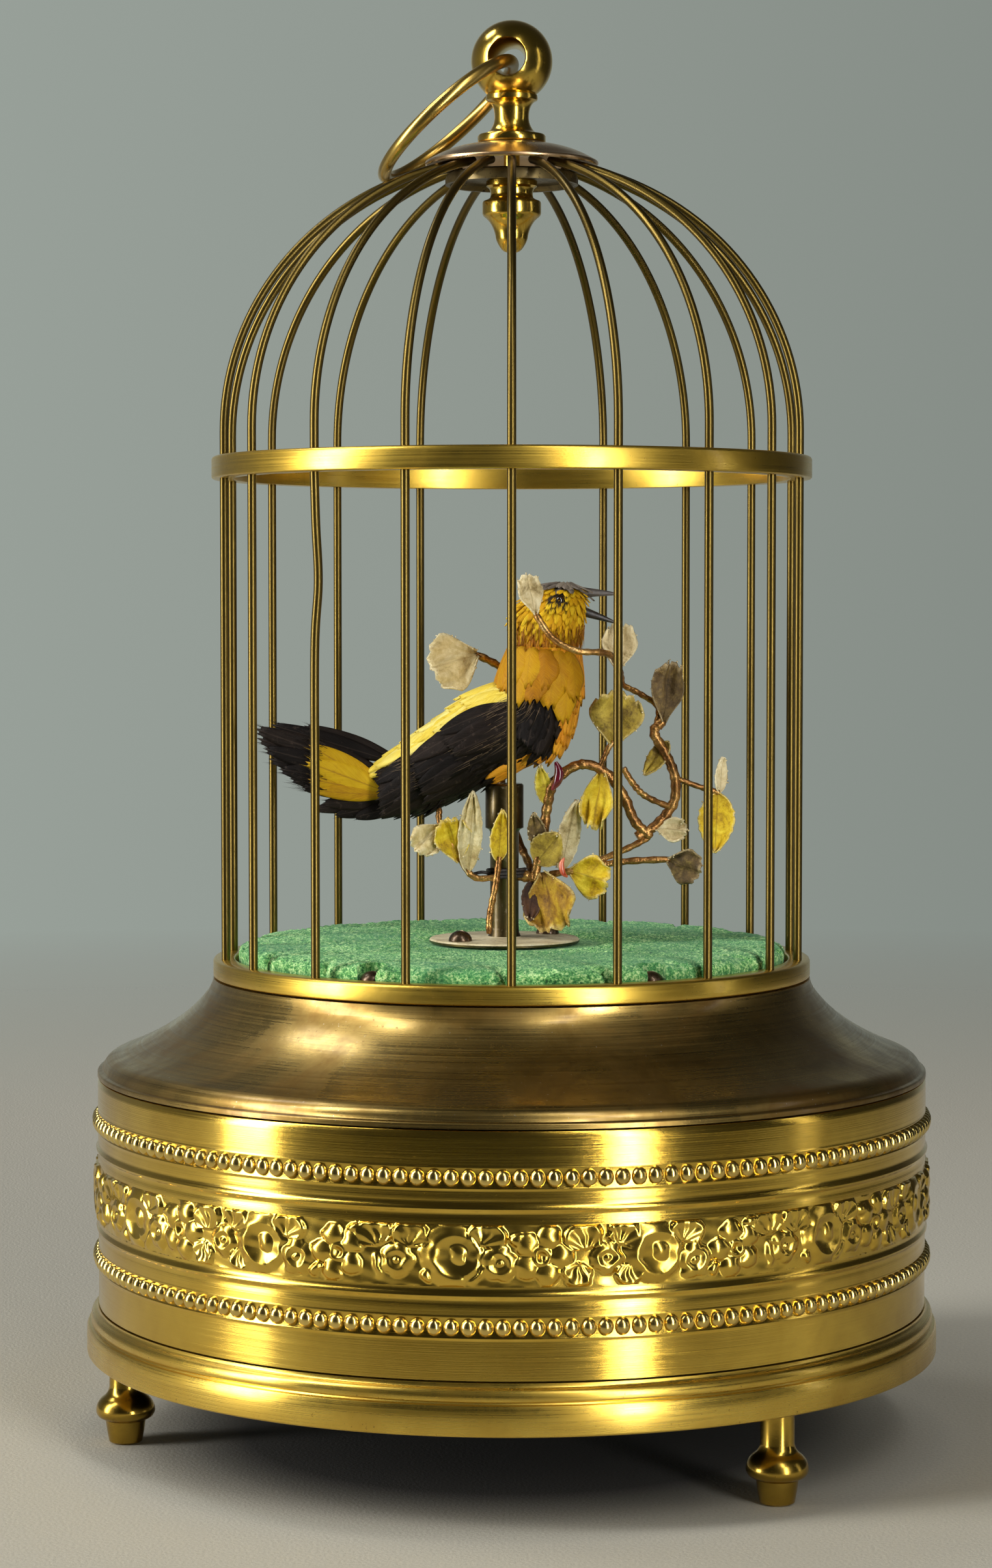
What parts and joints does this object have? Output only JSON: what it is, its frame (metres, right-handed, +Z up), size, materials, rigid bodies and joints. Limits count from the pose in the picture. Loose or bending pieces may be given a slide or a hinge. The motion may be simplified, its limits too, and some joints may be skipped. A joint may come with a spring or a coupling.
{
  "type": "birdcage music box",
  "caption": "Round brass birdcage music box: a feathered bird on a stand in a domed wire cage, on a drum base that holds a wind-up bellows movement.",
  "frame": {"origin": "on the floor, under the middle of the round base", "axes": "+Z up along the cage's axis, -Y towards the front, +X to the bird's beak"},
  "size_m": [0.16, 0.16, 0.2648],
  "materials": {
    "bar_brass": "polished wire with tarnish specks",
    "ring_brass": "brushed round the ring",
    "cap_bronze": "satin with a pinkish cast",
    "dark_brass": "dull and tarnished",
    "polished_brass": "polished",
    "cover_brass": "satin with mottled tarnish",
    "drum_brass": "brushed round the drum",
    "plinth_brass": "satin with fine dark specks",
    "works_brass": "plain satin",
    "brown_steel": "dark brown and dull",
    "steel": "plain",
    "green_velvet": "short pile",
    "pine": "plain planed wood",
    "pale_leather": "thin and soft",
    "orange_feather": "soft feathers",
    "black_feather": "glossy flight feathers",
    "grey_horn": "smooth horn",
    "paper_leaf": "dyed paper and silk on wrapped wire"
  },
  "bodies": {
    "cage": {"base_ring": "ring_brass", "cage_hoop": "ring_brass", "bar_01": "bar_brass", "bar_02": "bar_brass", "bar_03": "bar_brass", "bar_04": "bar_brass", "bar_05": "bar_brass", "bar_06": "bar_brass", "bar_07": "bar_brass", "bar_08": "bar_brass", "bar_09": "bar_brass", "bar_10": "bar_brass", "bar_11": "bar_brass", "bar_12": "bar_brass", "bar_13": "bar_brass", "bar_14": "bar_brass", "bar_15": "bar_brass", "bar_16": "bar_brass", "bar_17": "bar_brass", "bar_18": "bar_brass", "crown_cap": "cap_bronze", "crown_plate": "dark_brass", "finial": "polished_brass", "drop_nut": "polished_brass", "floor_board": "pine", "felt_floor": "green_velvet", "bird_stand": "dark_brass", "flange_screw_front": "brown_steel", "flange_screw_back": "brown_steel", "floor_screw_left": "brown_steel", "floor_screw_right": "brown_steel", "bird_body": "orange_feather", "wing_left": "black_feather", "wing_right": "black_feather", "foliage": "paper_leaf", "base_cover": "cover_brass", "drum_band": "drum_brass", "plinth_ring": "plinth_brass", "bottom_plate": "dark_brass", "foot_front_right": "polished_brass", "foot_left": "polished_brass", "foot_back": "polished_brass", "movement_plate": "works_brass", "air_chest": "pine", "bellows_leather": "pale_leather"},
    "carrying_ring": {"carrying_ring": "polished_brass"},
    "head": {"bird_head": "orange_feather"},
    "lower_beak": {"lower_beak": "grey_horn"},
    "tail": {"bird_tail": "black_feather"},
    "follower_lever": {"follower_lever": "steel"},
    "push_rod": {"push_rod": "steel"},
    "spring_barrel": {"spring_barrel": "works_brass"},
    "cam_stack": {"cam_stack": "works_brass"},
    "second_wheel": {"second_wheel": "works_brass"},
    "governor_fan": {"governor_fan": "works_brass"},
    "winding_key": {"winding_key": "polished_brass", "barrel_arbor": "steel"},
    "bellows_board": {"bellows_board": "pine"},
    "whistle_piston": {"whistle_piston": "steel"},
    "stop_lever": {"stop_lever": "works_brass"}
  },
  "joints": [
    {"name": "ring_swing", "type": "hinge", "parent": "cage", "child": "carrying_ring", "pos_m": [0, 0, 0.25717], "axis": [0.1305, 0.9914, 0], "range_deg": [0, 262.8]},
    {"name": "head_turn", "type": "hinge", "parent": "cage", "child": "head", "pos_m": [0.0066, 0, 0.1487], "axis": [0, 0, 1], "range_deg": [-25, 25]},
    {"name": "beak_close", "type": "hinge", "parent": "head", "child": "lower_beak", "pos_m": [0.0135, 0, 0.1541], "axis": [0, -1, 0], "range_deg": [0, 16]},
    {"name": "tail_flick", "type": "hinge", "parent": "cage", "child": "tail", "pos_m": [-0.02305, 0, 0.1225], "axis": [0, 1, 0], "range_deg": [0, 6]},
    {"name": "follower_rock", "type": "hinge", "parent": "cage", "child": "follower_lever", "pos_m": [0.0165, 0, 0.062], "axis": [0, 1, 0], "range_deg": [0, 8]},
    {"name": "rod_slide", "type": "slide", "parent": "cage", "child": "push_rod", "axis": [0, 0, 1], "range_m": [0, 0.00249]},
    {"name": "barrel_spin", "type": "hinge", "parent": "cage", "child": "spring_barrel", "pos_m": [0.00879, 0.02121, 0.0227], "axis": [0, 0, 1], "continuous": true},
    {"name": "cam_spin", "type": "hinge", "parent": "cage", "child": "cam_stack", "pos_m": [0.03, 0, 0.0227], "axis": [0, 0, 1], "continuous": true},
    {"name": "second_spin", "type": "hinge", "parent": "cage", "child": "second_wheel", "pos_m": [0.03868, -0.01034, 0.0227], "axis": [0, 0, 1], "continuous": true},
    {"name": "fan_spin", "type": "hinge", "parent": "cage", "child": "governor_fan", "pos_m": [0.03457, -0.02162, 0.0227], "axis": [0, 0, 1], "continuous": true},
    {"name": "key_wind", "type": "hinge", "parent": "cage", "child": "winding_key", "pos_m": [0.00879, 0.02121, 0.0227], "axis": [0, 0, 1], "continuous": true},
    {"name": "bellows_pump", "type": "hinge", "parent": "cage", "child": "bellows_board", "pos_m": [-0.0415, -0.032, 0.0386], "axis": [1, 0, 0], "range_deg": [0, 7], "deforming": ["bellows_leather"]},
    {"name": "piston_slide", "type": "slide", "parent": "cage", "child": "whistle_piston", "axis": [0, 1, 0], "range_m": [0, 0.012]},
    {"name": "stop_turn", "type": "hinge", "parent": "cage", "child": "stop_lever", "pos_m": [0.03, -0.035, 0.0189], "axis": [0, 0, 1], "range_deg": [-12, 12]}
  ],
  "couplings": [
    {"joint": "follower_rock", "follows": "rod_slide", "rad_per_m": 56.022},
    {"joint": "beak_close", "follows": "rod_slide", "rad_per_m": 112.04},
    {"joint": "tail_flick", "follows": "rod_slide", "rad_per_m": 42.017},
    {"joint": "cam_spin", "follows": "barrel_spin", "ratio": -4},
    {"joint": "second_spin", "follows": "barrel_spin", "ratio": 14},
    {"joint": "fan_spin", "follows": "barrel_spin", "ratio": -42}
  ]
}
